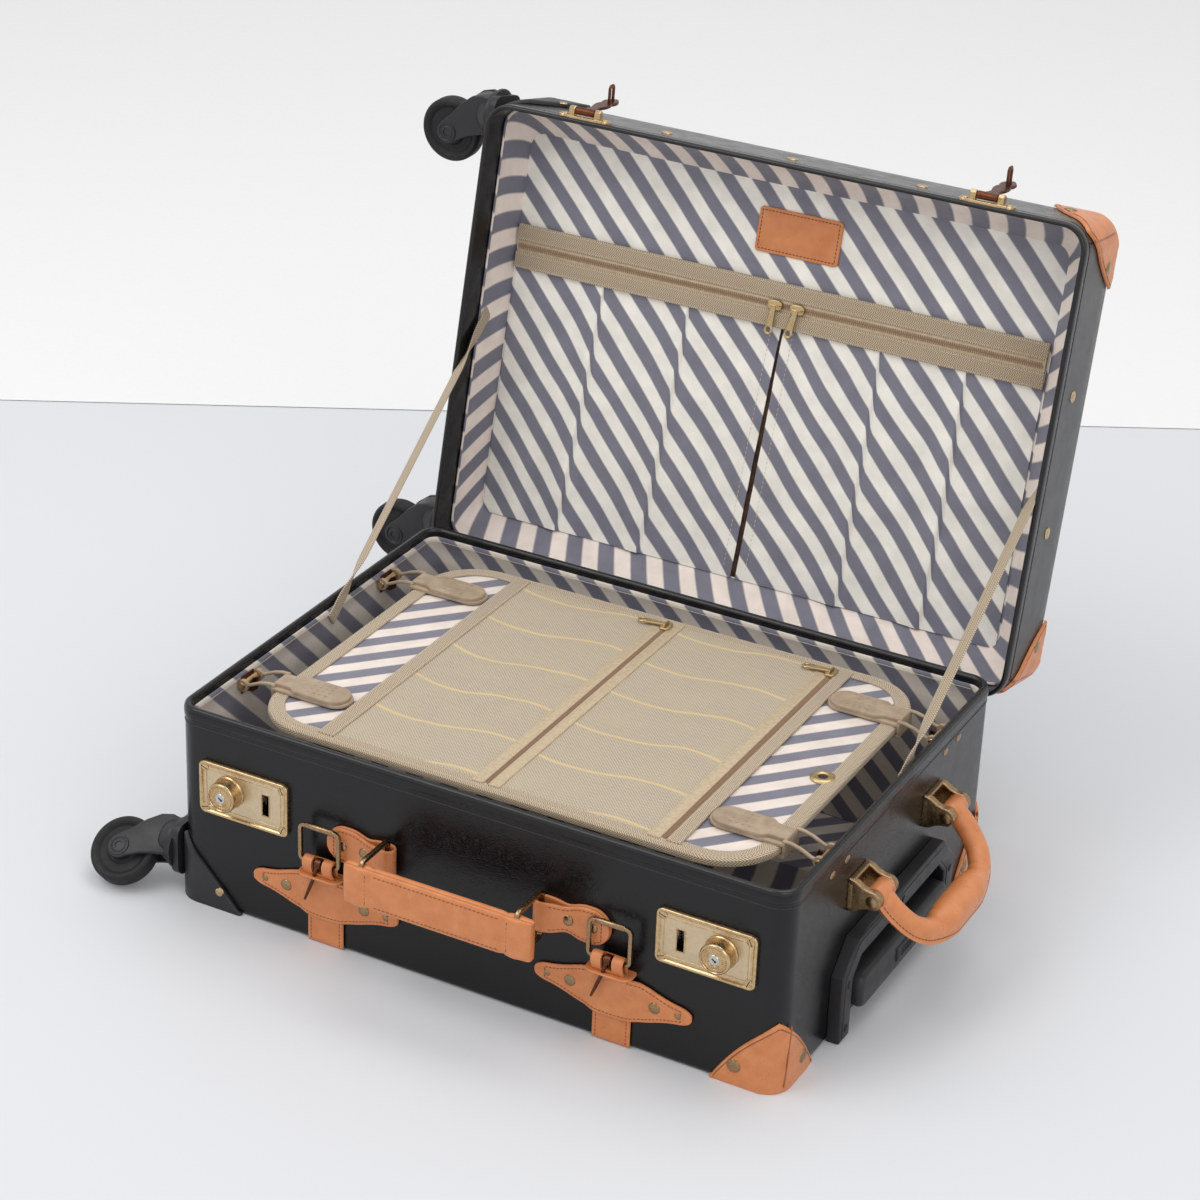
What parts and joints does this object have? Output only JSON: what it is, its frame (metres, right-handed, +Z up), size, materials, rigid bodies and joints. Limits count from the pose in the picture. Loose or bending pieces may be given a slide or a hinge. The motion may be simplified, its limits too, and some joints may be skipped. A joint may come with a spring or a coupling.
{
  "type": "hard-sided suitcase",
  "caption": "Open hard-sided cabin suitcase with hinged lid, striped lining, divider panel, leather trim, casters, handles and locks.",
  "frame": {"origin": "centre of the base shell's underside, the face that it rests on", "axes": "+Z up; +X towards the carry handle and the trolley; -Y is the front with the locks; the lid is hinged along +Y"},
  "size_m": [0.6321, 0.5569, 0.5046],
  "materials": {
    "black_vinyl": "embossed black vinyl, semi-gloss",
    "black_plastic": "moulded black plastic, satin",
    "tan_leather": "smooth tan leather with stitching",
    "brushed_brass": "brushed antique brass",
    "dark_brass": "darkened antique brass",
    "bright_steel": "brushed steel",
    "striped_lining": "slate and cream striped satin lining",
    "beige_webbing": "beige herringbone webbing",
    "divider_cloth": "striped cloth and cream mesh with beige binding"
  },
  "bodies": {
    "base": {"base_shell": "black_vinyl", "base_lining": "striped_lining", "corner_cap_front": "tan_leather", "corner_cap_back": "tan_leather", "caster_housing_base_front": "black_plastic", "caster_housing_base_back": "black_plastic", "hinge_base_leaf": "bright_steel", "lock_plate_left": "brushed_brass", "lock_plate_right": "brushed_brass", "handle_tab_left": "tan_leather", "handle_tab_right": "tan_leather", "strap_left": "tan_leather", "strap_right": "tan_leather", "side_bracket_front": "brushed_brass", "side_bracket_back": "brushed_brass", "trolley_bezel": "black_plastic", "trolley_tubes": "bright_steel", "stay_left": "beige_webbing", "stay_right": "beige_webbing"},
    "lid": {"lid_shell": "black_vinyl", "lid_lining": "striped_lining", "lid_pocket": "striped_lining", "hinge_lid_leaf": "bright_steel", "lid_corner_cap_front": "tan_leather", "lid_corner_cap_hinge": "tan_leather", "caster_housing_lid_front": "black_plastic", "caster_housing_lid_hinge": "black_plastic", "hasp_plate_left": "brushed_brass", "hasp_plate_right": "brushed_brass"},
    "hasp_left": {"hasp_arm_left": "dark_brass"},
    "hasp_right": {"hasp_arm_right": "dark_brass"},
    "knob_left": {"lock_knob_left": "brushed_brass"},
    "knob_right": {"lock_knob_right": "brushed_brass"},
    "loop_left": {"handle_loop_left": "dark_brass"},
    "loop_right": {"handle_loop_right": "dark_brass"},
    "handle": {"front_handle": "tan_leather"},
    "buckle_left": {"buckle_frame_left": "dark_brass"},
    "buckle_right": {"buckle_frame_right": "dark_brass"},
    "tongue_left": {"buckle_tongue_left": "dark_brass"},
    "tongue_right": {"buckle_tongue_right": "dark_brass"},
    "carry_handle": {"side_handle": "tan_leather"},
    "trolley": {"trolley_grip": "black_plastic"},
    "trolley_release": {"trolley_button": "black_plastic"},
    "divider": {"divider_panel": "divider_cloth", "clip_left_front": "beige_webbing", "clip_left_back": "beige_webbing", "clip_right_front": "beige_webbing", "clip_right_back": "beige_webbing"},
    "zip_divider_middle": {"divider_slider_middle": "brushed_brass"},
    "zip_divider_right": {"divider_slider_right": "brushed_brass"},
    "zip_lid_left": {"lid_slider_left": "brushed_brass"},
    "zip_lid_right": {"lid_slider_right": "brushed_brass"},
    "fork_base_front": {"caster_fork_base_front": "black_plastic"},
    "wheel_base_front": {"caster_wheel_base_front": "black_plastic"},
    "fork_base_back": {"caster_fork_base_back": "black_plastic"},
    "wheel_base_back": {"caster_wheel_base_back": "black_plastic"},
    "fork_lid_front": {"caster_fork_lid_front": "black_plastic"},
    "wheel_lid_front": {"caster_wheel_lid_front": "black_plastic"},
    "fork_lid_hinge": {"caster_fork_lid_hinge": "black_plastic"},
    "wheel_lid_hinge": {"caster_wheel_lid_hinge": "black_plastic"}
  },
  "joints": [
    {"name": "lid_hinge", "type": "hinge", "parent": "base", "child": "lid", "pos_m": [0, 0.1831, 0.136], "axis": [-1, 0, 0], "range_deg": [-103, 0], "deforming": ["stay_left", "stay_right"]},
    {"name": "hasp_left_swing", "type": "hinge", "parent": "lid", "child": "hasp_left", "pos_m": [-0.167, 0.27304, 0.49446], "axis": [-1, 0, 0], "range_deg": [-172, 0]},
    {"name": "knob_left_turn", "type": "hinge", "parent": "base", "child": "knob_left", "pos_m": [-0.198, -0.176, 0.104], "axis": [0, -1, 0], "range_deg": [0, 90]},
    {"name": "hasp_right_swing", "type": "hinge", "parent": "lid", "child": "hasp_right", "pos_m": [0.167, 0.27304, 0.49446], "axis": [-1, 0, 0], "range_deg": [-172, 0]},
    {"name": "knob_right_turn", "type": "hinge", "parent": "base", "child": "knob_right", "pos_m": [0.198, -0.176, 0.104], "axis": [0, -1, 0], "range_deg": [0, 90]},
    {"name": "loop_left_swing", "type": "hinge", "parent": "base", "child": "loop_left", "pos_m": [-0.062, -0.1825, 0.091], "axis": [0, 0, 1], "range_deg": [-50, 50]},
    {"name": "handle_turn", "type": "hinge", "parent": "loop_left", "child": "handle", "pos_m": [-0.062, -0.2175, 0.091], "axis": [0, 0, 1], "range_deg": [-50, 50]},
    {"name": "loop_right_swing", "type": "hinge", "parent": "base", "child": "loop_right", "pos_m": [0.062, -0.1825, 0.091], "axis": [0, 0, 1], "range_deg": [-50, 50]},
    {"name": "buckle_left_swing", "type": "hinge", "parent": "base", "child": "buckle_left", "pos_m": [-0.117, -0.1854, 0.073], "axis": [1, 0, 0], "range_deg": [0, 150]},
    {"name": "tongue_left_swing", "type": "hinge", "parent": "base", "child": "tongue_left", "pos_m": [-0.117, -0.1854, 0.073], "axis": [-1, 0, 0], "range_deg": [0, 160]},
    {"name": "buckle_right_swing", "type": "hinge", "parent": "base", "child": "buckle_right", "pos_m": [0.117, -0.1854, 0.073], "axis": [1, 0, 0], "range_deg": [0, 150]},
    {"name": "tongue_right_swing", "type": "hinge", "parent": "base", "child": "tongue_right", "pos_m": [0.117, -0.1854, 0.073], "axis": [-1, 0, 0], "range_deg": [0, 160]},
    {"name": "carry_handle_swing", "type": "hinge", "parent": "base", "child": "carry_handle", "pos_m": [0.263, 0, 0.111], "axis": [0, -1, 0], "range_deg": [-35, 130]},
    {"name": "trolley_extend", "type": "slide", "parent": "base", "child": "trolley", "axis": [1, 0, 0], "range_m": [0, 0.38]},
    {"name": "trolley_release_press", "type": "slide", "parent": "trolley", "child": "trolley_release", "axis": [-1, 0, 0], "range_m": [0, 0.003], "stiffness_N_per_m": 300},
    {"name": "swivel_base_front", "type": "hinge", "parent": "base", "child": "fork_base_front", "pos_m": [-0.2536, -0.163, 0.036], "axis": [1, 0, 0], "continuous": true},
    {"name": "roll_base_front", "type": "hinge", "parent": "fork_base_front", "child": "wheel_base_front", "pos_m": [-0.2931, -0.17832, 0.02314], "axis": [0, 0.6428, -0.766], "continuous": true},
    {"name": "swivel_base_back", "type": "hinge", "parent": "base", "child": "fork_base_back", "pos_m": [-0.2536, 0.163, 0.036], "axis": [1, 0, 0], "continuous": true},
    {"name": "roll_base_back", "type": "hinge", "parent": "fork_base_back", "child": "wheel_base_back", "pos_m": [-0.2931, 0.14768, 0.02314], "axis": [0, 0.6428, -0.766], "continuous": true},
    {"name": "swivel_lid_front", "type": "hinge", "parent": "lid", "child": "fork_lid_front", "pos_m": [-0.258, 0.29507, 0.46987], "axis": [1, 0, 0], "continuous": true},
    {"name": "roll_lid_front", "type": "hinge", "parent": "fork_lid_front", "child": "wheel_lid_front", "pos_m": [-0.2975, 0.29507, 0.44987], "axis": [0, 1, 0], "continuous": true},
    {"name": "swivel_lid_hinge", "type": "hinge", "parent": "lid", "child": "fork_lid_hinge", "pos_m": [-0.258, 0.21976, 0.14365], "axis": [1, 0, 0], "continuous": true},
    {"name": "roll_lid_hinge", "type": "hinge", "parent": "fork_lid_hinge", "child": "wheel_lid_hinge", "pos_m": [-0.2975, 0.21976, 0.12365], "axis": [0, 1, 0], "continuous": true},
    {"name": "divider_lift", "type": "slide", "parent": "base", "child": "divider", "axis": [0, 0, 1], "range_m": [0, 0.06]},
    {"name": "zip_divider_middle_run", "type": "slide", "parent": "divider", "child": "zip_divider_middle", "axis": [0, -1, 0], "range_m": [0, 0.25]},
    {"name": "zip_divider_right_run", "type": "slide", "parent": "divider", "child": "zip_divider_right", "axis": [0, -1, 0], "range_m": [0, 0.25]},
    {"name": "zip_lid_left_run", "type": "slide", "parent": "lid", "child": "zip_lid_left", "axis": [-1, 0, 0], "range_m": [0, 0.215]},
    {"name": "zip_lid_right_run", "type": "slide", "parent": "lid", "child": "zip_lid_right", "axis": [1, 0, 0], "range_m": [0, 0.2]}
  ],
  "couplings": [
    {"joint": "handle_turn", "follows": "loop_left_swing", "ratio": -1},
    {"joint": "loop_right_swing", "follows": "loop_left_swing", "ratio": 1}
  ]
}
